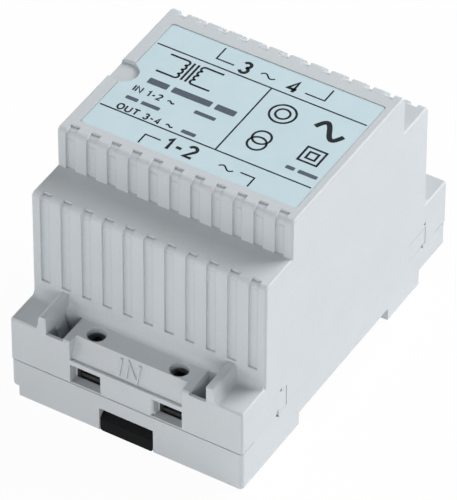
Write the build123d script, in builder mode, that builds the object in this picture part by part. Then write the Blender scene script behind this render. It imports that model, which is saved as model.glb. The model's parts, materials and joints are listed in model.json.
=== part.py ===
from build123d import *
import os
from math import tan, radians

os.makedirs("parts", exist_ok=True)

# Rail-mounted low voltage transformer, three modules wide.
# X runs across the modules, Y from the primary terminals (-Y) to the secondary ones (+Y),
# Z up from the rail side to the label. The origin is at the middle of the underside.

# Driving dimensions in millimetres

# Enclosure
width = 54.0
length = 81.0
height = 57.2
split_z = 10.0
shoulder_z = 20.8
tier_z = 47.5
shoulder_depth = 8.65
tier_depth = 9.75
wall = 2.0
draft = 0.3
side_edge = 0.3
edge_r = 1.15
shoulder_edge = 0.35
base_corner_r = 0.9
base_edge_r = 0.6
fit_gap = 0.1
reveal = 0.3
reveal_return = 4.5

# Ribbed front and rear walls
groove_count = 11
groove_pitch = 4.8
groove_width = 2.1
groove_depth = 0.5
groove_foot = 4.2
tier_groove_reach = 1.6
nose_groove_reach = 2.3
groove_drop = 0.65
tier_foot_r = 1.6

# Label and its recess on the nose
label_width = 49.4
label_length = 34.8
label_shift_x = 0.55
label_shift_y = -0.4
label_recess = 0.6
label_thickness = 0.45
label_corner_r = 0.6
notch_r = 3.3
notch_depth = 0.9

# Terminals
terminal_x = 9.65
screw_depth = 4.85
screw_hole_d = 4.1
screw_roof = 1.6
screw_room_width = 5.2
screw_room_length = 3.4
entry_width = 6.8
entry_top = 14.8
entry_depth = 2.4
panel_width = 26.1
panel_foot = 0.6
panel_head = 2.6
lip_height = 1.2
lip_gap = 0.2
lip_gap_depth = 0.6
entry_edge_r = 0.7
block_gap = 0.3
block_gap_depth = 1.0
block_corner_r = 0.9
roof = 2.0
cut_over = 1.0

# Clamp in each terminal
cage_width = 6.2
cage_length = 5.0
cage_wall = 0.8
cage_floor = 0.8
cage_roof = 1.5
tail_width = 2.4
tail_length = 4.0
plate_thickness = 0.8
plate_lift = 0.4
screw_d = 3.0
screw_clear = 0.05
screw_length = 5.6
screw_pin_d = 1.8
driver_slot_width = 0.5
driver_slot_depth = 0.8

# Fins and deep slots on the shoulders
fin_inner_x = 18.6
fin_thickness = 1.6
fin_height = 3.6
fin_flare = 0.5
fin_edge_r = 0.5
fin_foot_r = 0.9
slot_width = 3.9
slot_front = 0.8
slot_length = 6.8
slot_sill = 0.6
slot_deep = 8.0
slot_wall = 1.2
ramp_front = 3.6
ramp_length = 3.5
ramp_top = 0.5
ramp_thickness = 1.7

# Base, feet and the seat of the 35 mm rail
rail_width = 35.0
rail_play = 0.6
rail_center_y = -0.7
seat_z = 3.6
floor_thickness = 2.0
rear_foot_length = 12.7
rear_clear_z = 4.3
foot_inset = 1.7
foot_step_z = 3.0
foot_step_r = 1.2
lip_reach = 1.25
lip_top = 2.4
lip_width = 40.0

# Snap tongues of the base in the side walls
tongue_thickness = 1.0
front_tongue_y = -25.35
front_tongue_length = 3.7
front_tongue_height = 5.2
rear_tongue_y = 28.5
rear_tongue_length = 7.0
rear_tongue_height = 4.3
rear_tongue_gap = 0.3
mark_tip = 0.8
mark_half = 0.65
mark_depth = 0.7
mark_rise = 5.6
large_mark = 1.75

# Rail latch
latch_width = 12.2
latch_height = 6.0
latch_gap = 0.2
latch_hook = 1.3
latch_bevel = 2.7
latch_rail_width = 1.0
latch_rail_z = 2.6
latch_rail_height = 1.4
latch_travel = 4.0
leg_slot_width = 1.2
leg_width = 1.6
leg_slot_length = 12.0
channel_roof = 1.6
guide_end = 4.0

# Transformer
core_gap = 1.0
core_height = 40.0
core_stack = 24.0
limb = 8.0
bobbin_wall = 0.9
bobbin_gap = 0.2
flange_thickness = 1.0
winding_inset = 0.4
coil_overhang = 7.6
cutout_width = 11.0
cutout_height = 5.0
cutout_thickness = 3.0
lead_d = 1.4
lead_sides = 6
lead_start_x = 8.0
lead_run = 3.2
lead_bend_r = 1.7

# Values worked out from the driving dimensions
half_length = length / 2
tier_length = length - 2 * shoulder_depth
nose_length = tier_length - 2 * tier_depth
floor_z = seat_z + floor_thickness
inner_width = width - 2 * wall
core_width = inner_width - 2 * core_gap
rail_front_y = rail_center_y - (rail_width + rail_play) / 2
rail_rear_y = rail_center_y + (rail_width + rail_play) / 2
cage_bottom = split_z - cage_floor
cage_height = cage_floor + (entry_top - split_z) + cage_roof
cage_top = cage_bottom + cage_height
cage_y = entry_depth + cage_length / 2
plate_bottom = split_z + plate_lift
plate_top = plate_bottom + plate_thickness
core_top = floor_z + core_height
window_bottom = floor_z + limb
window_height = core_height - 2 * limb
block_half = fin_inner_x + slot_wall
fin_outer_x = fin_inner_x + fin_thickness + fin_flare
fin_top = shoulder_z + fin_height
tier_slope = tan(radians(draft))
guide_front = -half_length + guide_end
guide_back = rail_front_y - guide_end
chamber_height = (window_height - 2 * bobbin_gap - 3 * flange_thickness) / 2
bobbin_bottom = window_bottom + bobbin_gap
primary_z = bobbin_bottom + flange_thickness
secondary_z = primary_z + chamber_height + flange_thickness
tube_width = 2 * (limb + bobbin_gap + bobbin_wall)
tube_length = core_stack + 2 * (bobbin_gap + bobbin_wall)
flange_width = core_width - 2 * (limb + bobbin_gap)
flange_length = core_stack + 2 * coil_overhang
winding_y = flange_length / 2 - winding_inset
tail_end = entry_depth + cage_length + tail_length
tongues = (
    (front_tongue_y, front_tongue_length, front_tongue_height),
    (rear_tongue_y, rear_tongue_length, rear_tongue_height),
)
tongue_windows = (
    (front_tongue_y, front_tongue_length, front_tongue_height + fit_gap),
    (rear_tongue_y, rear_tongue_length, rear_tongue_height + rear_tongue_gap),
)


def front_y(depth, end):
    """Y at a depth behind the terminal face of one end: -1 primary, +1 secondary."""
    return end * (half_length - depth)


# The three tiers of the top housing, with a little draft at the ends and eased edges
tiers = []
for tier_span, tier_top, ease, rim in (
    (length, shoulder_z, chamfer, shoulder_edge),
    (tier_length, tier_z, fillet, edge_r),
    (nose_length, height, fillet, edge_r),
):
    tier_head = tier_span / 2 - tier_slope * (tier_top - split_z)
    with BuildPart() as tier:
        with BuildSketch(Plane.YZ) as tier_side:
            with BuildLine():
                Polyline(
                    (-tier_span / 2, split_z),
                    (tier_span / 2, split_z),
                    (tier_head, tier_top),
                    (-tier_head, tier_top),
                    close=True,
                )
            make_face()
            ease(tier_side.vertices().group_by(Axis.Y)[-1], rim)
        extrude(amount=width / 2, both=True)
        side_edges = tier.edges().filter_by(Axis.X, reverse=True)
        chamfer(side_edges.filter_by_position(Axis.Z, split_z + side_edge, height), side_edge)
    tiers.append(tier.part)

# Grooves of the ribbed walls, which run up and over the rounded edge to a small step
grooves = []
for end in (-1, 1):
    for wall_depth, groove_bottom, groove_top, reach in (
        (shoulder_depth, shoulder_z + groove_foot, tier_z, tier_groove_reach),
        (shoulder_depth + tier_depth, tier_z, height, nose_groove_reach),
    ):
        foot_depth = wall_depth + tier_slope * (groove_bottom - split_z)
        head_depth = wall_depth + tier_slope * (groove_top - split_z)
        bend_r = reach - groove_depth
        step_z = groove_top - groove_drop
        with BuildPart() as groove:
            with BuildSketch(Plane.YZ):
                with BuildLine():
                    Polyline(
                        (front_y(head_depth + reach, end), step_z),
                        (front_y(head_depth + reach, end), groove_top + edge_r),
                        (front_y(wall_depth - edge_r, end), groove_top + edge_r),
                        (front_y(wall_depth - edge_r, end), groove_bottom),
                        (front_y(foot_depth + groove_depth, end), groove_bottom),
                        (front_y(head_depth + groove_depth, end), step_z - bend_r),
                    )
                    bend_middle = (front_y(head_depth + reach, end), step_z - bend_r)
                    CenterArc(bend_middle, bend_r, 90 - 90 * end, 90 * end)
                make_face()
            extrude(amount=groove_width / 2, both=True)
        grooves.append(groove.part)

# Triangular relief marks at the corners of the snap tongues, through the side walls' outer face
with BuildPart() as snap_marks:
    for mark_y, mark_z, mark_size in (
        (front_tongue_y, split_z + mark_rise, 1),
        (front_tongue_y - front_tongue_length / 2 + mark_tip, split_z, large_mark),
        (rear_tongue_y + rear_tongue_length / 2, split_z + mark_rise, 1),
        (rear_tongue_y + rear_tongue_length / 2 - mark_tip, split_z, 1),
    ):
        with BuildSketch(Plane.YZ.offset(width / 2)):
            with BuildLine():
                Polyline(
                    (mark_y - mark_size * mark_tip, mark_z),
                    (mark_y, mark_z - mark_size * mark_half),
                    (mark_y, mark_z + mark_size * mark_half),
                    close=True,
                )
            make_face()
        extrude(amount=-mark_depth)
    mirror(about=Plane.YZ)

# Top housing: the tiers made hollow, with ribs, terminal rooms and label recess
with BuildPart() as top_housing:
    add(tiers)

    for end in (-1, 1):
        # Fins on the shoulders in line with the deep slots, with a slanted outer face and a flared foot
        with BuildSketch(Plane.XZ.offset(-front_y(fit_gap, end))) as fin:
            with BuildLine():
                Polyline(
                    (fin_inner_x, shoulder_z - shoulder_edge),
                    (fin_inner_x, fin_top),
                    (fin_inner_x + fin_thickness, fin_top),
                    (fin_outer_x, shoulder_z),
                    (fin_outer_x + fin_foot_r, shoulder_z),
                    (fin_outer_x + fin_foot_r, shoulder_z - shoulder_edge),
                    close=True,
                )
            make_face()
            fillet(fin.vertices().group_by(Axis.Y)[-1].sort_by(Axis.X)[-1], fin_edge_r)
            fillet(fin.vertices().sort_by_distance((fin_outer_x, shoulder_z))[0], fin_foot_r)
            mirror(about=Plane.YZ)
        extrude(amount=end * shoulder_depth)

        # Hollow round along the foot of the second tier
        foot_back = shoulder_depth + tier_slope * (shoulder_z - split_z)
        foot_front = foot_back - tier_foot_r
        with BuildSketch(Plane.YZ):
            with BuildLine():
                Polyline(
                    (front_y(foot_front, end), shoulder_z),
                    (front_y(foot_front, end), shoulder_z - shoulder_edge),
                    (front_y(foot_back + fit_gap, end), shoulder_z - shoulder_edge),
                    (front_y(foot_back + fit_gap, end), shoulder_z + tier_foot_r),
                    (front_y(foot_back, end), shoulder_z + tier_foot_r),
                )
                CenterArc((front_y(foot_front, end), shoulder_z + tier_foot_r), tier_foot_r, 270, -90 * end)
            make_face()
        extrude(amount=width / 2 - side_edge, both=True)

    # Hollow under the nose, the second tier and the shoulders
    for room_span, room_top in (
        (length, shoulder_z - roof),
        (tier_length, tier_z - roof),
        (nose_length, height - label_recess - roof),
    ):
        with BuildSketch(Plane.XY.offset(split_z)):
            Rectangle(inner_width, room_span - 2 * wall)
        extrude(amount=room_top - split_z, mode=Mode.SUBTRACT)

    # Ribs inside the nose that hold the core down
    with BuildSketch(Plane.XY.offset(core_top)):
        with GridLocations(0, core_stack - 2 * wall, 1, 2):
            Rectangle(inner_width, wall)
    extrude(amount=height - label_recess - roof - core_top)

    # Terminal rooms at both ends
    for end in (-1, 1):
        room_back = shoulder_depth + wall
        with BuildSketch(Plane.XY.offset(split_z)):
            with Locations((0, front_y((wall + room_back) / 2, end))):
                Rectangle(2 * block_half, room_back - wall)
        extrude(amount=shoulder_z - roof - split_z)
        with BuildSketch(Plane.XY.offset(split_z)):
            with Locations((0, front_y((wall + panel_head + wall) / 2, end))):
                Rectangle(panel_width, panel_head)
        extrude(amount=shoulder_z - roof - split_z)

        pocket_width = cage_width + 2 * fit_gap
        for side in (-1, 1):
            screw_x = side * terminal_x
            entry_edge_x = screw_x - side * entry_width / 2
            with BuildSketch(Plane.XY.offset(split_z)):
                with Locations((screw_x, front_y(entry_depth / 2, end))):
                    Rectangle(entry_width, entry_depth)
                with Locations((entry_edge_x - side * entry_edge_r / 2, front_y(entry_edge_r / 2, end))):
                    Rectangle(entry_edge_r, entry_edge_r)
                with Locations((entry_edge_x - side * entry_edge_r, front_y(entry_edge_r, end))):
                    Circle(entry_edge_r, mode=Mode.SUBTRACT)
            extrude(amount=entry_top - split_z, mode=Mode.SUBTRACT)
            with BuildSketch(Plane.XY.offset(split_z)):
                with Locations((screw_x, front_y((entry_depth + room_back) / 2, end))):
                    Rectangle(pocket_width, room_back - entry_depth)
            extrude(amount=cage_top + fit_gap - split_z, mode=Mode.SUBTRACT)
            with BuildSketch(Plane.XY.offset(cage_top)):
                with Locations((screw_x, front_y(screw_depth, end))):
                    Circle(screw_hole_d / 2)
            extrude(amount=shoulder_z - cage_top, mode=Mode.SUBTRACT)
            with BuildSketch(Plane.XY.offset(cage_top)):
                with Locations((screw_x, front_y(screw_depth + screw_room_length / 2, end))):
                    Rectangle(screw_room_width, screw_room_length)
            extrude(amount=shoulder_z - screw_roof - cage_top, mode=Mode.SUBTRACT)
            slot_x = side * (fin_inner_x - slot_width / 2)
            with BuildSketch(Plane.XY.offset(shoulder_z - slot_deep)):
                with Locations((slot_x, front_y(slot_front + slot_length / 2, end))):
                    Rectangle(slot_width, slot_length)
            extrude(amount=slot_deep + fin_height, mode=Mode.SUBTRACT)
            with BuildSketch(Plane.XY.offset(shoulder_z - slot_sill)):
                with Locations((slot_x, front_y(slot_front / 2, end))):
                    Rectangle(slot_width, slot_front)
            extrude(amount=slot_sill + fin_height, mode=Mode.SUBTRACT)
            slot_wall_x = side * fin_inner_x
            with BuildSketch(Plane.XZ.offset(-front_y(ramp_front, end))):
                with BuildLine():
                    Polyline(
                        (slot_wall_x, shoulder_z - ramp_top),
                        (slot_wall_x, shoulder_z - slot_deep),
                        (slot_wall_x - side * ramp_thickness, shoulder_z - slot_deep),
                        close=True,
                    )
                make_face()
            extrude(amount=end * ramp_length)

        # Shadow gap under the block between the wire entries, with rounded lower corners
        block_width = 2 * terminal_x - entry_width
        with BuildSketch(Plane.XZ.offset(-front_y(0, end))):
            with Locations((0, split_z + (block_gap + block_corner_r) / 2)):
                Rectangle(block_width, block_gap + block_corner_r)
            with Locations((0, split_z + block_gap + block_corner_r)):
                SlotOverall(block_width, 2 * block_corner_r, mode=Mode.SUBTRACT)
        extrude(amount=end * block_gap_depth, mode=Mode.SUBTRACT)

        # Middle room between the two terminals
        middle_width = 2 * (terminal_x - pocket_width / 2 - cage_wall)
        with BuildSketch(Plane.XY.offset(split_z)):
            with Locations((0, front_y((panel_head + wall + room_back) / 2, end))):
                Rectangle(middle_width, room_back - panel_head - wall)
        extrude(amount=shoulder_z - roof - split_z, mode=Mode.SUBTRACT)

        # Slanted panel above the wire entries, behind a thin lip
        lip_top_z = entry_top + lip_height
        with BuildSketch(Plane.YZ) as panel_cut:
            with BuildLine():
                Polyline(
                    (front_y(-cut_over, end), lip_top_z),
                    (front_y(panel_foot, end), lip_top_z),
                    (front_y(panel_foot, end), lip_top_z - lip_gap_depth),
                    (front_y(panel_foot + lip_gap, end), lip_top_z - lip_gap_depth),
                    (front_y(panel_foot + lip_gap, end), lip_top_z),
                    (front_y(panel_head, end), shoulder_z),
                    (front_y(panel_head, end), shoulder_z + cut_over),
                    (front_y(-cut_over, end), shoulder_z + cut_over),
                    close=True,
                )
            make_face()
        extrude(amount=panel_width / 2, both=True, mode=Mode.SUBTRACT)

    # Grooves of the ribbed walls
    with GridLocations(groove_pitch, 0, groove_count, 1):
        add(grooves, mode=Mode.SUBTRACT)

    # Recess for the label, with a finger notch through its left rim
    with BuildSketch(Plane.XY.offset(height - label_recess)):
        with Locations((label_shift_x, label_shift_y)):
            RectangleRounded(label_width + 2 * fit_gap, label_length + 2 * fit_gap, label_corner_r)
    extrude(amount=label_recess, mode=Mode.SUBTRACT)
    notch_x = -width / 2 + wall
    with BuildSketch(Plane.XY.offset(height - notch_depth)):
        with Locations((notch_x, label_shift_y)):
            Circle(notch_r)
    extrude(amount=notch_depth, mode=Mode.SUBTRACT)

    # Windows in the side walls for the snap tongues of the base
    for tongue_y, tongue_length, opening_height in tongue_windows:
        with BuildSketch(Plane.XY.offset(split_z)):
            with Locations((0, tongue_y)):
                with GridLocations(width - tongue_thickness, 0, 2, 1):
                    Rectangle(tongue_thickness + 2 * fit_gap, tongue_length + 2 * fit_gap)
        extrude(amount=opening_height, mode=Mode.SUBTRACT)
    add(snap_marks.part, mode=Mode.SUBTRACT)
top_housing.part.label = "top_housing"
export_step(top_housing.part, "parts/top_housing.step")

# Base housing: tray with two feet, rail seat, latch channel and snap tongues
with BuildPart() as base_housing:
    with BuildSketch(Plane.XY):
        RectangleRounded(width, length, base_corner_r)
    extrude(amount=split_z)

    # Underside: rail seat between the feet and the clearance behind the rear foot
    rear_foot_end = rail_rear_y + rear_foot_length
    with BuildSketch(Plane.YZ) as underside:
        with BuildLine():
            Polyline(
                (rail_front_y, 0),
                (rail_front_y, seat_z),
                (rail_rear_y, seat_z),
                (rail_rear_y, 0),
                close=True,
            )
        make_face()
        with BuildLine():
            Polyline(
                (rear_foot_end, 0),
                (rear_foot_end, rear_clear_z),
                (half_length, rear_clear_z),
                (half_length, 0),
                close=True,
            )
        make_face()
    extrude(amount=width / 2, both=True, mode=Mode.SUBTRACT)

    # The feet stand in from the left side wall, under a rounded shoulder
    with BuildSketch(Plane.XZ):
        with Locations((-width / 2 + foot_inset / 2, foot_step_z / 2)):
            Rectangle(foot_inset, foot_step_z)
        with Locations((-width / 2 + foot_step_r / 2, foot_step_z + foot_step_r / 2)):
            Rectangle(foot_step_r, foot_step_r)
        with Locations((-width / 2 + foot_step_r, foot_step_z + foot_step_r)):
            Circle(foot_step_r, mode=Mode.SUBTRACT)
    extrude(amount=half_length, both=True, mode=Mode.SUBTRACT)
    fillet(base_housing.edges().group_by(Axis.Z)[0], base_edge_r)

    # Tray inside the walls, with a raised roof over the latch channel
    tray_length = tier_length - 2 * wall
    with BuildSketch(Plane.XY.offset(floor_z)):
        Rectangle(inner_width, tray_length)
    extrude(amount=split_z - floor_z, mode=Mode.SUBTRACT)
    roof_length = rail_front_y + wall + tray_length / 2
    with BuildSketch(Plane.XY.offset(floor_z)):
        with Locations((0, roof_length / 2 - tray_length / 2)):
            Rectangle(latch_width + 2 * (latch_rail_width + wall), roof_length)
    extrude(amount=latch_height + latch_gap + channel_roof - floor_z)

    # Shadow line at both ends where the two housings meet
    with BuildSketch(Plane.XY.offset(split_z - reveal)):
        RectangleRounded(width, length, base_corner_r)
        RectangleRounded(width - 2 * reveal, length - 2 * reveal, base_corner_r - reveal, mode=Mode.SUBTRACT)
        Rectangle(width, length - 2 * reveal_return, mode=Mode.SUBTRACT)
    extrude(amount=reveal, mode=Mode.SUBTRACT)

    # Ribs on the floor that locate the core
    with BuildSketch(Plane.XY.offset(floor_z)):
        with GridLocations(0, core_stack + wall, 1, 2):
            Rectangle(inner_width, wall)
    extrude(amount=split_z - floor_z)

    # Seats of the terminal cages
    with BuildSketch(Plane.XY.offset(cage_bottom)):
        with GridLocations(2 * terminal_x, length - 2 * cage_y, 2, 2):
            Rectangle(cage_width + 2 * fit_gap, cage_length + 2 * fit_gap)
    extrude(amount=cage_floor, mode=Mode.SUBTRACT)
    with BuildSketch(Plane.XY.offset(cage_bottom)):
        with GridLocations(2 * terminal_x, length - 2 * tail_end + tail_length, 2, 2):
            Rectangle(tail_width + 2 * fit_gap, tail_length + 2 * fit_gap)
    extrude(amount=cage_floor, mode=Mode.SUBTRACT)

    # Fixed hook that grips the far edge of the rail
    with BuildSketch(Plane.XY):
        with Locations((0, rail_rear_y - lip_reach / 2)):
            Rectangle(lip_width, lip_reach)
    extrude(amount=lip_top)

    # Channel of the rail latch, open below, with a guide slot on each side
    channel_length = rail_front_y + half_length
    channel_y = (rail_front_y - half_length) / 2
    with BuildSketch(Plane.XY):
        with Locations((0, channel_y)):
            Rectangle(latch_width + 2 * latch_gap, channel_length)
    extrude(amount=latch_height + latch_gap, mode=Mode.SUBTRACT)
    with BuildSketch(Plane.XY.offset(latch_rail_z - latch_gap)):
        with Locations((0, (guide_front + guide_back) / 2)):
            Rectangle(latch_width + 2 * (latch_rail_width + latch_gap), guide_back - guide_front)
    extrude(amount=latch_rail_height + 2 * latch_gap, mode=Mode.SUBTRACT)

    # Snap tongues on the side walls
    for tongue_y, tongue_length, tongue_height in tongues:
        with BuildSketch(Plane.XY.offset(split_z - wall)):
            with Locations((0, tongue_y)):
                with GridLocations(width - 2 * fit_gap - tongue_thickness, 0, 2, 1):
                    Rectangle(tongue_thickness, tongue_length)
        extrude(amount=wall + tongue_height)
    add(snap_marks.part, mode=Mode.SUBTRACT)
base_housing.part.label = "base_housing"
export_step(base_housing.part, "parts/base_housing.step")

# Label plate in the recess, cut out around the finger notch
with BuildPart() as label_plate:
    with BuildSketch(Plane.XY.offset(height - label_recess)):
        with Locations((label_shift_x, label_shift_y)):
            RectangleRounded(label_width, label_length, label_corner_r)
        with Locations((-width / 2 + wall, label_shift_y)):
            Circle(notch_r, mode=Mode.SUBTRACT)
    extrude(amount=label_thickness)
label_plate.part.label = "label_plate"
export_step(label_plate.part, "parts/label_plate.step")

# Rail latch: bevelled pull, hooked tongue and two spring legs with guide rails
with BuildPart() as rail_latch:
    latch_front = -half_length + fit_gap
    latch_back = rail_front_y - latch_gap
    hook_tip = rail_front_y + latch_hook
    hook_ramp = lip_top / 2
    with BuildSketch(Plane.YZ):
        with BuildLine():
            Polyline(
                (latch_front, latch_gap),
                (hook_tip - hook_ramp, latch_gap),
                (hook_tip, latch_gap + hook_ramp),
                (hook_tip, lip_top),
                (latch_back, lip_top),
                (latch_back, latch_height),
                (latch_front, latch_height),
                close=True,
            )
        make_face()
    extrude(amount=latch_width / 2, both=True)
    fillet(rail_latch.edges().filter_by(Axis.Y).group_by(Axis.Z)[0], base_edge_r)
    chamfer(rail_latch.edges().filter_by(Axis.X).group_by(Axis.Y)[0].sort_by(Axis.Z)[-1], latch_bevel)
    with BuildSketch(Plane.XY):
        with Locations((0, hook_tip - leg_slot_length / 2)):
            with GridLocations(latch_width - 2 * leg_width - leg_slot_width, 0, 2, 1):
                Rectangle(leg_slot_width, leg_slot_length)
        with Locations((0, hook_tip - latch_hook / 2)):
            with GridLocations(latch_width - leg_width, 0, 2, 1):
                Rectangle(leg_width, latch_hook + 2 * latch_gap)
    extrude(amount=latch_height, mode=Mode.SUBTRACT)
    guide_start = guide_front + latch_travel + latch_gap
    with BuildSketch(Plane.XY.offset(latch_rail_z)):
        with Locations((0, (guide_start + guide_back - latch_gap) / 2)):
            with GridLocations(latch_width + latch_rail_width, 0, 2, 1):
                Rectangle(latch_rail_width, guide_back - latch_gap - guide_start)
    extrude(amount=latch_rail_height)
rail_latch.part.label = "rail_latch"
export_step(rail_latch.part, "parts/rail_latch.step")

# Laminated core: E stack open at the top, closed by the I stack
window_width = (core_width - 4 * limb) / 2
with BuildPart() as core_e_stack:
    with BuildSketch(Plane.XZ):
        with Locations((0, floor_z + (core_height - limb) / 2)):
            Rectangle(core_width, core_height - limb)
        with Locations((0, window_bottom + window_height / 2)):
            with GridLocations(2 * limb + window_width, 0, 2, 1):
                Rectangle(window_width, window_height, mode=Mode.SUBTRACT)
    extrude(amount=core_stack / 2, both=True)
core_e_stack.part.label = "core_e_stack"
export_step(core_e_stack.part, "parts/core_e_stack.step")

with BuildPart() as core_i_stack:
    with BuildSketch(Plane.XZ):
        with Locations((0, core_top - limb / 2)):
            Rectangle(core_width, limb)
    extrude(amount=core_stack / 2, both=True)
core_i_stack.part.label = "core_i_stack"
export_step(core_i_stack.part, "parts/core_i_stack.step")

# Two-chamber bobbin on the middle limb
with BuildPart() as coil_bobbin:
    with BuildSketch(Plane.XY.offset(bobbin_bottom)):
        Rectangle(tube_width, tube_length)
    extrude(amount=window_height - 2 * bobbin_gap)
    for flange_z in (bobbin_bottom, secondary_z - flange_thickness, secondary_z + chamber_height):
        with BuildSketch(Plane.XY.offset(flange_z)):
            Rectangle(flange_width, flange_length)
        extrude(amount=flange_thickness)
    with BuildSketch(Plane.XY.offset(bobbin_bottom)):
        Rectangle(2 * (limb + bobbin_gap), core_stack + 2 * bobbin_gap)
    extrude(amount=window_height - 2 * bobbin_gap, mode=Mode.SUBTRACT)
coil_bobbin.part.label = "coil_bobbin"
export_step(coil_bobbin.part, "parts/coil_bobbin.step")

# Windings, one in each chamber
for winding_name, chamber_z in (("primary_winding", primary_z), ("secondary_winding", secondary_z)):
    with BuildPart() as winding:
        with BuildSketch(Plane.XY.offset(chamber_z)):
            RectangleRounded(flange_width - 2 * winding_inset, 2 * winding_y, edge_r)
            Rectangle(tube_width, tube_length, mode=Mode.SUBTRACT)
        extrude(amount=chamber_height)
    winding.part.label = winding_name
    export_step(winding.part, f"parts/{winding_name}.step")

# Thermal cut-out against the primary winding
with BuildPart() as thermal_cutout:
    with BuildSketch(Plane.XY.offset(primary_z + (chamber_height - cutout_height) / 2)):
        with Locations((0, -winding_y - cutout_thickness / 2)):
            RectangleRounded(cutout_width, cutout_thickness, edge_r)
    extrude(amount=cutout_height)
thermal_cutout.part.label = "thermal_cutout"
export_step(thermal_cutout.part, "parts/thermal_cutout.step")

# Four terminals: cage with solder tail, clamp plate, screw and lead
for end, end_name, chamber_z in ((-1, "primary", primary_z), (1, "secondary", secondary_z)):
    for side, side_name in ((-1, "left"), (1, "right")):
        place = f"{end_name}_{side_name}"
        clamp_x = side * terminal_x
        clamp_y = front_y(cage_y, end)
        screw_y = front_y(screw_depth, end)

        with BuildPart() as terminal_cage:
            with BuildSketch(Plane.XY.offset(cage_bottom)):
                with Locations((clamp_x, clamp_y)):
                    Rectangle(cage_width, cage_length)
            extrude(amount=cage_height)
            with BuildSketch(Plane.XY.offset(cage_bottom)):
                with Locations((clamp_x, front_y(tail_end - tail_length / 2, end))):
                    Rectangle(tail_width, tail_length)
            extrude(amount=cage_floor)
            with BuildSketch(Plane.XY.offset(split_z)):
                with Locations((clamp_x, clamp_y)):
                    Rectangle(cage_width - 2 * cage_wall, cage_length)
            extrude(amount=entry_top - split_z, mode=Mode.SUBTRACT)
            with BuildSketch(Plane.XY.offset(entry_top)):
                with Locations((clamp_x, screw_y)):
                    Circle(screw_d / 2)
            extrude(amount=cage_roof, mode=Mode.SUBTRACT)
        terminal_cage.part.label = f"terminal_cage_{place}"
        export_step(terminal_cage.part, f"parts/terminal_cage_{place}.step")

        with BuildPart() as clamp_plate:
            with BuildSketch(Plane.XY.offset(plate_bottom)):
                with Locations((clamp_x, clamp_y)):
                    Rectangle(cage_width - 2 * cage_wall - 2 * fit_gap, cage_length - 2 * fit_gap)
                with Locations((clamp_x, screw_y)):
                    Circle(screw_pin_d / 2 + screw_clear, mode=Mode.SUBTRACT)
            extrude(amount=plate_thickness)
        clamp_plate.part.label = f"clamp_plate_{place}"
        export_step(clamp_plate.part, f"parts/clamp_plate_{place}.step")

        with BuildPart() as terminal_screw:
            with BuildSketch(Plane.XY.offset(plate_bottom)):
                with Locations((clamp_x, screw_y)):
                    Circle(screw_pin_d / 2)
            extrude(amount=plate_thickness)
            with BuildSketch(Plane.XY.offset(plate_top)):
                with Locations((clamp_x, screw_y)):
                    Circle(screw_d / 2 - screw_clear)
            extrude(amount=screw_length)
            with BuildSketch(Plane.XY.offset(plate_top + screw_length - driver_slot_depth)):
                with Locations((clamp_x, screw_y)):
                    Rectangle(screw_d, driver_slot_width)
            extrude(amount=driver_slot_depth, mode=Mode.SUBTRACT)
        terminal_screw.part.label = f"terminal_screw_{place}"
        export_step(terminal_screw.part, f"parts/terminal_screw_{place}.step")

        lead_y = end * winding_y
        tail_y = front_y(tail_end, end)
        lead_z = chamber_z + chamber_height / 2
        tail_z = cage_bottom + cage_floor / 2
        with BuildPart() as lead:
            with BuildLine() as lead_route:
                FilletPolyline(
                    (side * lead_start_x, lead_y, lead_z),
                    (side * lead_start_x, lead_y + end * lead_run, lead_z),
                    (clamp_x, tail_y - end * lead_run, tail_z),
                    (clamp_x, tail_y, tail_z),
                    radius=lead_bend_r,
                )
            with BuildSketch(Plane(origin=lead_route.line @ 0, z_dir=lead_route.line % 0)):
                RegularPolygon(lead_d / 2, lead_sides)
            sweep()
        lead.part.label = f"lead_{place}"
        export_step(lead.part, f"parts/lead_{place}.step")
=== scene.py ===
import json
from math import asin, atan2, cos, degrees, pi, radians, sin

import bmesh
import bpy
from mathutils import Matrix, Vector


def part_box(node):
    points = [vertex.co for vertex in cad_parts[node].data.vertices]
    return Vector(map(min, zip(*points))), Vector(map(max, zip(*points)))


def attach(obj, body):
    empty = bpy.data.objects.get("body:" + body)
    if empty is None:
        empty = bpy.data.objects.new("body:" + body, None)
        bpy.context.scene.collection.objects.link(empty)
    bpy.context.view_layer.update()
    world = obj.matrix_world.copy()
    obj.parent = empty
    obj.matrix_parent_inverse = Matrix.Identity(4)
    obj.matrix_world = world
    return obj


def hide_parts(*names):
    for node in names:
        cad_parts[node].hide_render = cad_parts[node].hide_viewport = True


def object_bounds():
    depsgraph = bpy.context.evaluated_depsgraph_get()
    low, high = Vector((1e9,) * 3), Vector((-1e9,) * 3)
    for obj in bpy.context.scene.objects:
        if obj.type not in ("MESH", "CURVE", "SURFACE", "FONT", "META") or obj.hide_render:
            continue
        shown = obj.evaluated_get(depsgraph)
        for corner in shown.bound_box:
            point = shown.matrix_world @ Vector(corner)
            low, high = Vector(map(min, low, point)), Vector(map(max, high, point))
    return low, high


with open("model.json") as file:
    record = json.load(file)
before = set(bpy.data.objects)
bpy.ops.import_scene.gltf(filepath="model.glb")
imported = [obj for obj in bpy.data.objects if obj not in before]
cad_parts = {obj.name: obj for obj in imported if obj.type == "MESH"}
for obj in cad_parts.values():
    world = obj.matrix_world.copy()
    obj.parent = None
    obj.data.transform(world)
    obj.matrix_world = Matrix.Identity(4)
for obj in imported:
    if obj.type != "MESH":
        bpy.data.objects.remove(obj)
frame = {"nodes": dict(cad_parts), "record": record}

# Looks of a rail-mounted low voltage transformer: finishes of every piece, the print on the label, the
# raised letters on the slanted panels, the floors of the grooves at the bends and the threads of the
# terminal screws. The model is in metres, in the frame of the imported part.

cad_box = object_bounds()
scene = bpy.context.scene
nodes = frame["nodes"]
MM = 0.001
NOISE_LOW = 0.3
NOISE_HIGH = 0.7
MITRE_LIMIT = 0.6


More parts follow.
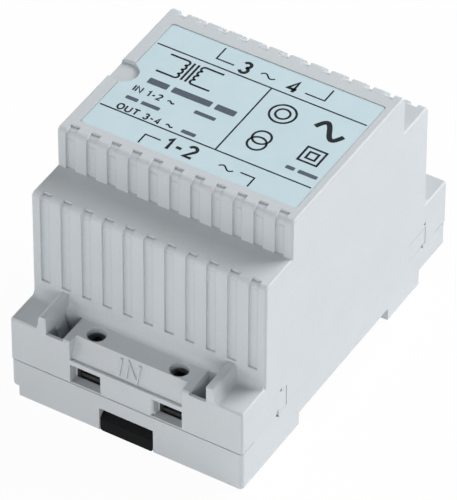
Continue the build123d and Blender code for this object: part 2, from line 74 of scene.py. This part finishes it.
def srgb(red, green, blue):
    """A colour from 8-bit screen values, as linear RGBA."""
    def linear(value):
        share = value / 255
        return share / 12.92 if share <= 0.04045 else ((share + 0.055) / 1.055) ** 2.4
    return (linear(red), linear(green), linear(blue), 1.0)


# Node helpers for the materials


def new_material(name):
    """A node material and its Principled shader."""
    material = bpy.data.materials.new(name)
    material.use_nodes = True
    return material, material.node_tree.nodes["Principled BSDF"]


def add_node(material, kind, **inputs):
    """A node with plain values on its input sockets; underscores in a name stand for spaces."""
    node = material.node_tree.nodes.new(kind)
    for socket, value in inputs.items():
        node.inputs[socket.replace("_", " ")].default_value = value
    return node


def link(material, source, target):
    material.node_tree.links.new(source, target)


def place(material, stretch=(1, 1, 1)):
    """Coordinates in the part's frame; a stretch above 1 lengthens a pattern along that axis."""
    coordinates = add_node(material, "ShaderNodeTexCoord")
    mapping = add_node(material, "ShaderNodeMapping", Scale=[1 / s for s in stretch])
    link(material, coordinates.outputs["Object"], mapping.inputs["Vector"])
    return mapping.outputs["Vector"]


def noise(material, grain, detail=2.0, stretch=(1, 1, 1)):
    """Noise with a grain of that size in metres, from 0 to 1."""
    node = add_node(material, "ShaderNodeTexNoise", Scale=1 / grain, Detail=detail, Roughness=0.55)
    link(material, place(material, stretch), node.inputs["Vector"])
    return node.outputs["Fac"]


def bands(material, direction, pitch, distortion=0.0):
    """Sine bands across a direction, one for each pitch in metres."""
    node = add_node(material, "ShaderNodeTexWave", Scale=pi / (10 * pitch), Distortion=distortion)
    node.bands_direction = direction
    node.wave_profile = "SIN"
    link(material, place(material), node.inputs["Vector"])
    return node.outputs["Fac"]


def ramp(material, source, low, high):
    """Source spread from a low to a high number."""
    node = add_node(material, "ShaderNodeMapRange", From_Min=NOISE_LOW, From_Max=NOISE_HIGH)
    node.inputs["To Min"].default_value = low
    node.inputs["To Max"].default_value = high
    link(material, source, node.inputs["Value"])
    return node.outputs["Result"]


def tint(material, source, dark, light):
    """Source spread between two colours."""
    node = add_node(material, "ShaderNodeValToRGB")
    first, last = node.color_ramp.elements
    first.position, first.color = NOISE_LOW, dark
    last.position, last.color = NOISE_HIGH, light
    link(material, source, node.inputs["Fac"])
    return node.outputs["Color"]


def multiply(material, first, second):
    """Two colours multiplied."""
    node = material.node_tree.nodes.new("ShaderNodeMix")
    node.data_type = "RGBA"
    node.blend_type = "MULTIPLY"
    node.inputs["Factor"].default_value = 1.0
    link(material, first, node.inputs["A"])
    link(material, second, node.inputs["B"])
    return node.outputs["Result"]


def grey(value):
    return (value, value, value, 1.0)


def bump(material, source, depth, under=None):
    """A bump of that depth in metres, over another normal where one is given."""
    node = add_node(material, "ShaderNodeBump", Distance=depth, Strength=1.0)
    link(material, source, node.inputs["Height"])
    if under is not None:
        link(material, under, node.inputs["Normal"])
    return node.outputs["Normal"]


def soft_edges(material, radius):
    """The normal of edges rounded by a small radius."""
    node = add_node(material, "ShaderNodeBevel", Radius=radius)
    node.samples = 6
    return node.outputs["Normal"]


# Finishes

blotch_size = 12 * MM
sheen_size = 3 * MM
speckle_ratio = 2.2
sheet_thickness = 0.5 * MM
tape_ridge_pitch = 0.35 * MM
ink_specular = 0.12


def dress(material, shader, colour, roughness, normal=None):
    """Colour, roughness and normal joined to a shader."""
    link(material, colour, shader.inputs["Base Color"])
    link(material, roughness, shader.inputs["Roughness"])
    if normal is not None:
        link(material, normal, shader.inputs["Normal"])


def moulded_plastic(name, dark, light, rough, grain, depth, edge, specular=0.4):
    """Moulded plastic with a spark-eroded grain, faint flow blotches and eased edges."""
    material, shader = new_material(name)
    blotch = tint(material, noise(material, blotch_size, detail=3.0), dark=grey(0.97), light=grey(1.0))
    speckle = tint(material, noise(material, speckle_ratio * grain, detail=1.0), dark, light)
    colour = multiply(material, speckle, blotch)
    roughness = ramp(material, noise(material, sheen_size), *rough)
    normal = bump(material, noise(material, grain, detail=1.0), depth, under=soft_edges(material, edge))
    dress(material, shader, colour, roughness, normal)
    shader.inputs["Specular IOR Level"].default_value = specular
    return material


def label_film():
    """Pale blue plastic film with a satin face."""
    material, shader = new_material("label_film")
    clouds = noise(material, grain=6 * MM, detail=3.0)
    colour = tint(material, clouds, dark=srgb(197, 218, 226), light=srgb(201, 222, 229))
    roughness = ramp(material, noise(material, grain=1.5 * MM), low=0.34, high=0.44)
    texture = noise(material, grain=0.25 * MM, detail=1.0)
    normal = bump(material, texture, depth=0.002 * MM, under=soft_edges(material, radius=0.12 * MM))
    dress(material, shader, colour, roughness, normal)
    return material


def printed_ink(name, dark, light):
    """Screen-printed ink, a little uneven."""
    material, shader = new_material(name)
    colour = tint(material, noise(material, grain=0.5 * MM, detail=2.0), dark, light)
    roughness = ramp(material, noise(material, grain=0.8 * MM), low=0.42, high=0.58)
    dress(material, shader, colour, roughness)
    shader.inputs["Specular IOR Level"].default_value = ink_specular
    return material


def laminated_steel():
    """A stack of electrical sheets seen on edge, with thin dark joints."""
    material, shader = new_material("laminated_steel")
    sheets = bands(material, "Y", sheet_thickness, distortion=0.2)
    steel = tint(material, sheets, dark=srgb(88, 90, 94), light=srgb(148, 150, 154))
    patches = noise(material, grain=2 * MM, detail=3.0)
    stain = tint(material, patches, dark=srgb(214, 204, 194), light=grey(1.0))
    colour = multiply(material, steel, stain)
    roughness = ramp(material, noise(material, grain=0.6 * MM), low=0.38, high=0.55)
    dress(material, shader, colour, roughness, bump(material, sheets, depth=0.04 * MM))
    shader.inputs["Metallic"].default_value = 0.85
    return material


def wound_tape():
    """Polyester tape wound round a coil, with the wire showing through as fine ridges."""
    material, shader = new_material("wound_tape")
    wires = bands(material, "Z", tape_ridge_pitch, distortion=0.5)
    clouds = noise(material, grain=3 * MM, detail=3.0)
    colour = tint(material, clouds, dark=srgb(206, 160, 62), light=srgb(226, 184, 88))
    roughness = ramp(material, noise(material, grain=1.2 * MM), low=0.22, high=0.38)
    normal = bump(material, wires, depth=0.02 * MM, under=soft_edges(material, radius=0.2 * MM))
    dress(material, shader, colour, roughness, normal)
    return material


def plated_metal(name, dark, light, rough, stretch):
    """Plated metal with fine rolling or turning marks."""
    material, shader = new_material(name)
    marks = noise(material, grain=0.12 * MM, detail=3.0, stretch=stretch)
    colour = tint(material, noise(material, grain=1.5 * MM, detail=3.0), dark, light)
    normal = bump(material, marks, depth=0.004 * MM, under=soft_edges(material, radius=0.1 * MM))
    dress(material, shader, colour, ramp(material, marks, *rough), normal)
    shader.inputs["Metallic"].default_value = 1.0
    return material


def wire_insulation(name, dark, light):
    """Extruded plastic insulation with a soft gloss."""
    material, shader = new_material(name)
    colour = tint(material, noise(material, grain=1.5 * MM, detail=2.0), dark, light)
    roughness = ramp(material, noise(material, grain=0.7 * MM), low=0.28, high=0.42)
    normal = bump(material, noise(material, grain=0.3 * MM), depth=0.006 * MM)
    dress(material, shader, colour, roughness, normal)
    return material


finishes = {
    "housing_grey": moulded_plastic(
        "housing_grey",
        dark=srgb(201, 206, 210),
        light=srgb(205, 210, 214),
        rough=(0.52, 0.62),
        grain=0.16 * MM,
        depth=0.0025 * MM,
        edge=0.2 * MM,
        specular=0.3,
    ),
    "label_blue": label_film(),
    "latch_black": moulded_plastic(
        "latch_black",
        dark=srgb(9, 11, 12),
        light=srgb(15, 17, 18),
        rough=(0.5, 0.62),
        grain=0.2 * MM,
        depth=0.004 * MM,
        edge=0.2 * MM,
        specular=0.06,
    ),
    "core_steel": laminated_steel(),
    "bobbin_white": moulded_plastic(
        "bobbin_white",
        dark=srgb(226, 224, 216),
        light=srgb(236, 235, 228),
        rough=(0.34, 0.46),
        grain=0.3 * MM,
        depth=0.004 * MM,
        edge=0.15 * MM,
    ),
    "winding_tape": wound_tape(),
    "cutout_metal": plated_metal(
        "cutout_metal",
        dark=srgb(178, 180, 182),
        light=srgb(204, 206, 208),
        rough=(0.26, 0.42),
        stretch=(1, 1, 6),
    ),
    # Terminal cages: the plating's own grey, darkened well below plated metal as painted shade for the
    # dark inside of the wire entries
    "terminal_brass": plated_metal(
        "terminal_brass",
        dark=srgb(62, 61, 58),
        light=srgb(82, 80, 75),
        rough=(0.5, 0.66),
        stretch=(1, 8, 1),
    ),
    "clamp_steel": plated_metal(
        "clamp_steel",
        dark=srgb(66, 68, 70),
        light=srgb(88, 90, 92),
        rough=(0.46, 0.62),
        stretch=(1, 8, 1),
    ),
    "screw_steel": plated_metal(
        "screw_steel",
        dark=srgb(92, 93, 96),
        light=srgb(120, 121, 124),
        rough=(0.38, 0.54),
        stretch=(6, 6, 1),
    ),
    "lead_red": wire_insulation("lead_red", dark=srgb(150, 28, 26), light=srgb(172, 38, 34)),
    "lead_white": wire_insulation("lead_white", dark=srgb(218, 217, 212), light=srgb(232, 231, 227)),
}
dark_ink = printed_ink("dark_ink", dark=srgb(22, 27, 34), light=srgb(34, 39, 46))
pale_ink = printed_ink("pale_ink", dark=srgb(82, 92, 103), light=srgb(94, 104, 115))

for part in frame["record"]["subparts"]:
    node = nodes[part["node"]]
    node.data.materials.clear()
    node.data.materials.append(finishes[part["material_slot"]])


# Flat line work, built as closed strips of one thickness


def offset_points(points, distance, closed):
    """The points of a line moved sideways by a distance, with mitred corners."""
    count = len(points)
    moved = []
    for index, point in enumerate(points):
        before = points[index - 1] if closed or index else None
        after = points[(index + 1) % count] if closed or index < count - 1 else None
        sides = []
        for start, end in ((before, point), (point, after)):
            if start is not None and end is not None:
                run = (end - start).normalized()
                sides.append(Vector((-run.y, run.x)))
        normal = sum(sides, Vector((0, 0))).normalized()
        moved.append(point + normal * (distance / max(normal.dot(sides[0]), MITRE_LIMIT)))
    return moved


class LineWork:
    """Collects strips and plates of one thickness on a plane, and makes one piece of them."""

    def __init__(self, bottom, top, taper=0.0):
        self.mesh = bmesh.new()
        self.bottom = bottom
        self.top = top
        self.taper = taper

    def prism(self, low, high, inner_low=None, inner_high=None):
        """A closed prism between two outlines, with a hole where inner outlines are given."""
        rows = []
        levels = (self.bottom, self.top, self.top, self.bottom)
        for outline, level in zip((low, high, inner_high, inner_low), levels):
            if outline is not None:
                rows.append([self.mesh.verts.new((p.x, p.y, level)) for p in outline])
        if inner_low is None:
            self.mesh.faces.new(reversed(rows[0]))
            self.mesh.faces.new(rows[1])
            rows = rows[:2]
        else:
            rows.append(rows[0])
        count = len(low)
        for first, second in zip(rows, rows[1:]):
            for index in range(count):
                after = (index + 1) % count
                self.mesh.faces.new((first[index], first[after], second[after], second[index]))

    def strip(self, points, thickness, closed=False):
        """A line of that thickness along the points."""
        points = [Vector(p) for p in points]
        half = thickness / 2
        top_half = half - self.taper
        if closed:
            self.prism(
                offset_points(points, -half, True),
                offset_points(points, -top_half, True),
                offset_points(points, half, True),
                offset_points(points, top_half, True),
            )
            return
        low = offset_points(points, -half, False) + offset_points(points, half, False)[::-1]
        high = offset_points(points, -top_half, False) + offset_points(points, top_half, False)[::-1]
        self.prism(low, high)

    def plate(self, outline):
        """A filled outline, given against the clock."""
        points = [Vector(p) for p in outline]
        self.prism(points, offset_points(points, self.taper, True) if self.taper else points)

    def piece(self, name, material, onto=Matrix.Identity(4), body="housing"):
        """The collected shapes as one object that rides on a body."""
        bmesh.ops.recalc_face_normals(self.mesh, faces=self.mesh.faces)
        data = bpy.data.meshes.new(name)
        self.mesh.to_mesh(data)
        self.mesh.free()
        data.transform(onto)
        data.materials.append(material)
        made = bpy.data.objects.new(name, data)
        scene.collection.objects.link(made)
        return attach(made, body)


def arc(centre, radius, start, end, steps):
    """Points on an arc between two angles in degrees."""
    angles = [radians(start + (end - start) * i / steps) for i in range(steps + 1)]
    return [(centre[0] + radius * cos(a), centre[1] + radius * sin(a)) for a in angles]


def ellipse(centre, half_width, half_height, steps=40):
    """Points all round an ellipse, against the clock."""
    angles = [2 * pi * i / steps for i in range(steps)]
    return [(centre[0] + half_width * cos(a), centre[1] + half_height * sin(a)) for a in angles]


def rounded_bar(left, right, low, high, radius):
    """Outline of a bar with rounded corners, against the clock."""
    corners = (
        (right - radius, low + radius, -90),
        (right - radius, high - radius, 0),
        (left + radius, high - radius, 90),
        (left + radius, low + radius, 180),
    )
    return [p for x, y, start in corners for p in arc((x, y), radius, start, start + 90, 5)]


def wave(left, right, middle, swing, steps=24):
    """One period of a sine from left to right."""
    shares = [i / steps for i in range(steps + 1)]
    return [(left + (right - left) * share, middle + swing * sin(2 * pi * share)) for share in shares]


# Numerals and letters as plain strokes in a box one unit high


def glyph(name):
    """The width of a character's box, and its strokes: points and whether the line closes."""
    hook = arc((0.28, 0.74), 0.26, 165, -40, 16) + [(0.03, 0.0), (0.56, 0.0)]
    upper = arc((0.27, 0.745), 0.235, 160, -90, 14)
    lower = arc((0.27, 0.26), 0.26, 90, -160, 16)
    cup = [(0.0, 1.0)] + arc((0.35, 0.35), 0.35, 180, 360, 14) + [(0.7, 1.0)]
    shapes = {
        "1": (0.36, [([(0.04, 0.74), (0.27, 0.97), (0.27, 0.0)], False)]),
        "2": (0.58, [(hook, False)]),
        "3": (0.56, [(upper, False), (lower, False)]),
        "4": (0.6, [([(0.45, 0.0), (0.45, 0.98), (0.04, 0.27), (0.6, 0.27)], False)]),
        "I": (0.0, [([(0.0, 0.0), (0.0, 1.0)], False)]),
        "N": (0.7, [([(0.0, 0.0), (0.0, 1.0), (0.7, 0.0), (0.7, 1.0)], False)]),
        "O": (0.8, [(ellipse((0.4, 0.5), 0.4, 0.5, 28), True)]),
        "U": (0.7, [(cup, False)]),
        "T": (0.76, [([(0.0, 1.0), (0.76, 1.0)], False), ([(0.38, 0.0), (0.38, 0.96)], False)]),
        "-": (0.36, [([(0.0, 0.44), (0.36, 0.44)], False)]),
        "~": (1.0, [(wave(0.0, 1.0, 0.45, 0.16), False)]),
        " ": (0.2, []),
    }
    return shapes[name]


def line_length(text, height, gap):
    """How far a line of characters reaches."""
    return sum(glyph(name)[0] * height for name in text) + gap * (len(text) - 1)


def write(work, text, left, foot, height, thickness, gap):
    """A line of characters from its lower left corner."""
    for name in text:
        width, strokes = glyph(name)
        for points, closed in strokes:
            work.strip([(left + height * x, foot + height * y) for x, y in points], thickness, closed)
        left += width * height + gap


# Print on the label, laid out in millimetres from the label's middle

label_low, label_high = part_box("label_plate")
label_x = (label_low.x + label_high.x) / 2
label_y = (label_low.y + label_high.y) / 2
label_top = label_high.z
ink_sink = 0.01 * MM
ink_rise = 0.02 * MM
on_label = Matrix.Translation((label_x, label_y, 0)) @ Matrix.Diagonal((MM, MM, 1, 1))
rule_thickness = 0.34
rule_half = 24.2
rule_y = 10.8
divider_x = 2.4


def label_work():
    """Line work of the ink's thickness on the label."""
    return LineWork(label_top - ink_sink, label_top + ink_rise)


def finish_print(work, name, material):
    """Line work in millimetres as a piece that lies on the label."""
    work.piece(name, material, on_label)


rules = label_work()
for side in (-1, 1):
    rules.strip([(-rule_half, side * rule_y), (rule_half, side * rule_y)], rule_thickness)
divider_half = rule_y - rule_thickness / 2
rules.strip([(divider_x, -divider_half), (divider_x, divider_half)], rule_thickness)
finish_print(rules, "print_rules", dark_ink)

# Brackets that point from the terminals to their numbers: corner, tip, left and right arm
bracket_middle = 0.83
bracket_half = 12.5
front_bracket = (-14.0, -16.85, 3.5, 3.2)
rear_bracket = (12.9, 16.55, 4.1, 4.5)
brackets = label_work()
for corner, tip, *arms in (front_bracket, rear_bracket):
    for side, arm in zip((-1, 1), arms):
        bracket_x = bracket_middle + side * bracket_half
        inner_x = bracket_x - side * arm
        brackets.strip([(bracket_x, tip), (bracket_x, corner), (inner_x, corner)], rule_thickness)
finish_print(brackets, "print_brackets", dark_ink)

# Terminal numbers at the front and back: text, left end, foot
number_height = 3.3
number_stroke = 0.72
number_gap = 1.2
numbers = label_work()
for text, left, foot in (
    ("1-2", -6.9, -15.6),
    ("~", 5.4, -15.9),
    ("3", -6.1, 11.8),
    ("~", -1.7, 12.0),
    ("4", 4.9, 11.8),
):
    stroke = rule_thickness if text == "~" else number_stroke
    write(numbers, text, left, foot, number_height, stroke, number_gap)
finish_print(numbers, "print_terminal_numbers", dark_ink)

# Legend lines: text, foot, and the ends of the plain bar that follows
legend_height = 1.6
legend_stroke = 0.38
legend_left = -20.9
legend_gap = 0.55
legend_bar_foot = 0.3
legend_bar_head = 1.3
bar_corner = 0.25
legend = label_work()
bars = label_work()
for text, foot, bar_left, bar_right in (
    ("IN 1-2 ~", -4.0, -7.0, -2.2),
    ("OUT 3-4 ~", -10.2, -6.2, -3.0),
):
    write(legend, text, legend_left, foot, legend_height, legend_stroke, legend_gap)
    low, high = foot + legend_bar_foot, foot + legend_bar_head
    bars.plate(rounded_bar(bar_left, bar_right, low, high, bar_corner))
finish_print(legend, "print_legend", dark_ink)

# Plain bars: left end, right end, foot, height
for left, right, foot, tall in (
    (-19.8, -15.2, -0.6, 1.7),
    (-14.2, -5.2, -0.6, 1.7),
    (-4.2, 0.4, -0.6, 1.7),
    (-21.0, -18.2, -6.8, 1.0),
    (-17.4, -13.2, -6.8, 1.0),
    (16.7, 18.7, -8.3, 1.0),
    (19.5, 23.8, -8.3, 1.0),
):
    bars.plate(rounded_bar(left, right, foot, foot + tall, bar_corner))
finish_print(bars, "print_bars", pale_ink)

# Plain signs: a transformer with two coils and its core, rings, a heavy wave and nested squares
sign_stroke = 0.48
signs = label_work()
coil_x = -13.9
coil_turns = 4
turn_r = 0.72
turn_steps = 12
coil_top = 9.3
coil_foot = coil_top - 2 * turn_r * coil_turns
core_reach = 0.5
spine_reach = 2.1
tip_reach = 6.2
for side in (-1, 1):
    spine = coil_x + side * spine_reach
    tip = coil_x + side * tip_reach
    core = coil_x + side * core_reach
    for turn in range(coil_turns):
        middle = coil_top - (2 * turn + 1) * turn_r
        signs.strip(arc((spine, middle), turn_r, 90, 90 + side * 180, turn_steps), sign_stroke)
    for level in (coil_top, coil_foot):
        signs.strip([(spine, level), (tip, level)], sign_stroke)
    signs.strip([(core, coil_foot), (core, coil_top)], sign_stroke)
ring_middle = (8.3, 5.2)
ring_radii = (2.75, 1.5)
for radius in ring_radii:
    signs.strip(ellipse(ring_middle, radius, radius), sign_stroke, True)
link_x = 8.4
link_levels = (-3.0, -5.0)
link_radius = 1.95
for level in link_levels:
    signs.strip(ellipse((link_x, level), link_radius, link_radius), sign_stroke, True)
wave_left, wave_right = 15.6, 22.1
wave_middle = 5.4
wave_swing = 2.1
wave_stroke = 1.1
wave_steps = 32
signs.strip(wave(wave_left, wave_right, wave_middle, wave_swing, wave_steps), wave_stroke)
square_x, square_y = 19.7, -2.65
square_halves = (2.15, 1.0)
for half in square_halves:
    left, right = square_x - half, square_x + half
    low, high = square_y - half, square_y + half
    signs.strip([(left, low), (right, low), (right, high), (left, high)], sign_stroke, True)
finish_print(signs, "print_signs", dark_ink)

# Raised letters on the slanted panels at both ends
half_length = 40.5
panel_foot_inset = 0.8
panel_head_inset = 2.6
panel_foot_y = half_length * MM - panel_foot_inset * MM
panel_foot_z = 16.0 * MM
panel_head_y = half_length * MM - panel_head_inset * MM
panel_head_z = 20.8 * MM
panel_slant = atan2(panel_head_z - panel_foot_z, panel_foot_y - panel_head_y)
letter_height = 3.7 * MM
letter_foot = 0.6 * MM
letter_stroke = 0.66 * MM
letter_gap = 1.7 * MM
letter_sink = 0.05 * MM
letter_rise = 0.34 * MM
letter_taper = 0.08 * MM
for word, turn, panel in (("IN", 0.0, "front"), ("OUT", pi, "rear")):
    letters = LineWork(-letter_sink, letter_rise, letter_taper)
    left = -line_length(word, letter_height, letter_gap) / 2
    write(letters, word, left, letter_foot, letter_height, letter_stroke, letter_gap)
    place_on_panel = (
        Matrix.Rotation(turn, 4, "Z")
        @ Matrix.Translation((0, -panel_foot_y, panel_foot_z))
        @ Matrix.Rotation(panel_slant, 4, "X")
    )
    made = letters.piece("panel_letters_" + panel, finishes["housing_grey"], place_on_panel)

# Floors of the grooves where they bend over the edges, raised to a low step; in millimetres

groove_count = 11
groove_pitch = 4.8
groove_width = 2.1
groove_depth = 0.5
groove_drop = 0.65
floor_bend = 0.9
floor_sink = 0.03
bend_steps = 8
front_end, rear_end = -1, 1


def groove_floor(head, top, reach, step):
    """Outline of a raised floor across the groove: depth behind the terminal face, and height."""
    hollow_radius = reach - groove_depth
    hollow_z = top - groove_drop - hollow_radius
    turns = [pi / 2 * i / bend_steps for i in range(bend_steps + 1)]
    bend_y = head + groove_depth + floor_bend
    bend_z = top - step - floor_bend
    outline = [(head + groove_depth, hollow_z)]
    outline += [(bend_y - floor_bend * cos(a), bend_z + floor_bend * sin(a)) for a in turns]
    outline += [(head + reach + floor_sink, top - step)]
    sunk = hollow_radius - floor_sink
    outline += [(head + reach - sunk * cos(a), hollow_z + sunk * sin(a)) for a in reversed(turns)]
    return outline


# The two ribbed tiers: depth and height of the wall's head, reach of the grooves over the edge, height
# of the step that is left, and the ends with raised floors
middle_tier = (8.846, 47.5, 1.6, 0.52, (front_end, rear_end))
top_tier_front = (18.647, 57.2, 2.3, 0.42, (front_end,))
top_tier_rear = (18.647, 57.2, 2.3, 0.62, (rear_end,))
floors = bmesh.new()
groove_half = groove_width / 2 + floor_sink
for head, top, reach, step, ends in (middle_tier, top_tier_front, top_tier_rear):
    outline = groove_floor(head, top, reach, step)
    for end in ends:
        for index in range(groove_count):
            middle = groove_pitch * (index - (groove_count - 1) / 2)
            sides = []
            for x in (middle - groove_half, middle + groove_half):
                corners = [(x, end * (half_length - depth), z) for depth, z in outline]
                sides.append([floors.verts.new(Vector(corner) * MM) for corner in corners])
            floors.faces.new(sides[0])
            floors.faces.new(reversed(sides[1]))
            for first in range(len(outline)):
                after = (first + 1) % len(outline)
                quad = (sides[0][first], sides[1][first], sides[1][after], sides[0][after])
                floors.faces.new(quad)
bmesh.ops.recalc_face_normals(floors, faces=floors.faces)
floors_data = bpy.data.meshes.new("groove_floors")
floors.to_mesh(floors_data)
floors.free()
floors_data.materials.append(finishes["housing_grey"])
groove_floors = bpy.data.objects.new("groove_floors", floors_data)
scene.collection.objects.link(groove_floors)
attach(groove_floors, "housing")

# Terminal screws with their thread, in place of the plain solids

screw_radius = 1.45 * MM
pin_radius = 0.9 * MM
pin_length = 0.8 * MM
thread_pitch = 0.5 * MM
thread_depth = 0.2 * MM
thread_runout = 0.15 * MM
driver_slot_width = 0.5 * MM
driver_slot_depth = 0.8 * MM
head_sink = 0.02 * MM
ring_steps = 36
pitch_steps = 12
head_steps = 18


def thread_radius(height, length, angle):
    """Radius of the thread at a height above its foot, with a run-out at both ends."""
    phase = (height / thread_pitch - angle / (2 * pi)) % 1
    share = min(1.0, min(height, length - height) / thread_runout)
    return screw_radius - share * thread_depth * (1 - abs(2 * phase - 1))


def threaded_screw(node, body, name):
    """A screw with pin, thread and driver slot, in the place of a plain one."""
    low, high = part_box(node)
    x, y = (low.x + high.x) / 2, (low.y + high.y) / 2
    foot = low.z + pin_length
    slot_floor = high.z - driver_slot_depth
    length = slot_floor - foot
    work = LineWork(slot_floor - head_sink, high.z)
    angles = [2 * pi * i / ring_steps for i in range(ring_steps)]

    def ring(level, radii):
        """Points round the screw's axis, with a radius for each angle."""
        spots = [(x + r * cos(a), y + r * sin(a), level) for a, r in zip(angles, radii)]
        return [work.mesh.verts.new(spot) for spot in spots]

    rings = [ring(level, [pin_radius] * ring_steps) for level in (low.z, foot)]
    count = round(length / thread_pitch * pitch_steps)
    for step in range(count + 1):
        height = length * step / count
        rings.append(ring(foot + height, [thread_radius(height, length, a) for a in angles]))
    for first, second in zip(rings, rings[1:]):
        for index in range(ring_steps):
            after = (index + 1) % ring_steps
            work.mesh.faces.new((first[index], first[after], second[after], second[index]))
    work.mesh.faces.new(reversed(rings[0]))
    work.mesh.faces.new(rings[-1])
    slot_angle = degrees(asin(driver_slot_width / 2 / screw_radius))
    for turn in (0, 180):
        work.plate(arc((x, y), screw_radius, turn + slot_angle, turn + 180 - slot_angle, head_steps))
    made = work.piece(name, finishes["screw_steel"], body=body)
    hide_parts(node)


for end in ("primary", "secondary"):
    for side in ("left", "right"):
        where = end + "_" + side
        threaded_screw("terminal_screw_" + where, "screw_" + where, "threaded_screw_" + where)

# Floor, world and lamps

white = (1.0, 1.0, 1.0, 1.0)
floor_grey = 0.86
floor_roughness = 0.9
floor_specular = 0.1
floor_glow = 0.96
world_strength = 0.02
lamp_distance = 1.4
lamp_size = 0.9


def seen_ray(material):
    """1 for rays from the camera and for mirrored or passed ones, else 0."""
    path = add_node(material, "ShaderNodeLightPath")
    total = path.outputs["Is Camera Ray"]
    for name in ("Is Glossy Ray", "Is Transmission Ray"):
        largest = add_node(material, "ShaderNodeMath")
        largest.operation = "MAXIMUM"
        link(material, total, largest.inputs[0])
        link(material, path.outputs[name], largest.inputs[1])
        total = largest.outputs[0]
    return total


def pale_floor():
    """A matt white floor that keeps a faint shadow where it is seen."""
    material, shader = new_material("pale_floor")
    shader.inputs["Base Color"].default_value = grey(floor_grey)
    shader.inputs["Roughness"].default_value = floor_roughness
    shader.inputs["Specular IOR Level"].default_value = floor_specular
    glow = add_node(material, "ShaderNodeEmission", Color=white, Strength=1.0)
    share = add_node(material, "ShaderNodeMath")
    share.operation = "MULTIPLY"
    share.inputs[1].default_value = floor_glow
    blend = add_node(material, "ShaderNodeMixShader")
    link(material, seen_ray(material), share.inputs[0])
    link(material, share.outputs[0], blend.inputs["Fac"])
    link(material, shader.outputs["BSDF"], blend.inputs[1])
    link(material, glow.outputs["Emission"], blend.inputs[2])
    output = material.node_tree.nodes["Material Output"]
    link(material, blend.outputs["Shader"], output.inputs["Surface"])
    return material


floor_half = 3.0
floor_level = -0.02 * MM
floor_data = bpy.data.meshes.new("floor")
floor_signs = ((-1, -1), (1, -1), (1, 1), (-1, 1))
floor_corners = [(x * floor_half, y * floor_half, floor_level) for x, y in floor_signs]
floor_data.from_pydata(floor_corners, [], [(0, 1, 2, 3)])
floor_data.materials.append(pale_floor())
floor = bpy.data.objects.new("floor", floor_data)
scene.collection.objects.link(floor)

world = bpy.data.worlds.new("studio")
scene.world = world
world.use_nodes = True
soft_light = world.node_tree.nodes["Background"]
soft_light.inputs["Color"].default_value = white
soft_light.inputs["Strength"].default_value = world_strength
plain_white = add_node(world, "ShaderNodeBackground", Color=white, Strength=1.0)
world_mix = add_node(world, "ShaderNodeMixShader")
link(world, seen_ray(world), world_mix.inputs["Fac"])
link(world, soft_light.outputs["Background"], world_mix.inputs[1])
link(world, plain_white.outputs["Background"], world_mix.inputs[2])
link(world, world_mix.outputs["Shader"], world.node_tree.nodes["World Output"].inputs["Surface"])

object_middle = (cad_box[0] + cad_box[1]) / 2


def lamp(name, azimuth, elevation, power):
    """A square soft box that looks at the object; azimuth 0 is in front, 90 at the right."""
    data = bpy.data.lights.new(name, "AREA")
    data.shape = "SQUARE"
    data.size = lamp_size
    data.energy = power
    made = bpy.data.objects.new(name, data)
    turn, rise = radians(azimuth), radians(elevation)
    back = Vector((sin(turn) * cos(rise), -cos(turn) * cos(rise), sin(rise)))
    made.location = object_middle + lamp_distance * back
    made.rotation_euler = back.to_track_quat("Z", "Y").to_euler()
    scene.collection.objects.link(made)


lamp("key_right", azimuth=145, elevation=28, power=18)
lamp("key_high", azimuth=145, elevation=50, power=7.4)
lamp("fill_front", azimuth=28, elevation=8, power=10.6)
lamp("fill_left", azimuth=-90, elevation=8, power=9)
lamp("fill_near", azimuth=-45, elevation=28, power=6)

# Camera, above the front right corner

camera_azimuth = radians(31.09)
camera_elevation = radians(42.37)
camera_roll = radians(0.15)
camera_target = Vector((4.19, -8.1, 28.6)) * MM
camera_distance = 1.0978
camera_focus = 5500
camera_reach = 20
image_height = 500
sensor = 36.0

camera_back = Vector((
    sin(camera_azimuth) * cos(camera_elevation),
    -cos(camera_azimuth) * cos(camera_elevation),
    sin(camera_elevation),
))
level_right = Vector((cos(camera_azimuth), sin(camera_azimuth), 0))
level_up = camera_back.cross(level_right)
camera_right = level_right * cos(camera_roll) + level_up * sin(camera_roll)
camera_up = camera_back.cross(camera_right)
camera_data = bpy.data.cameras.new("camera")
camera_data.sensor_fit = "VERTICAL"
camera_data.sensor_height = sensor
camera_data.lens = camera_focus / image_height * sensor
camera_data.clip_end = camera_reach
camera = bpy.data.objects.new("camera", camera_data)
turned = Matrix((camera_right, camera_up, camera_back)).transposed().to_4x4()
camera.matrix_world = Matrix.Translation(camera_target + camera_distance * camera_back) @ turned
scene.collection.objects.link(camera)
scene.camera = camera
scene.view_settings.view_transform = "Standard"
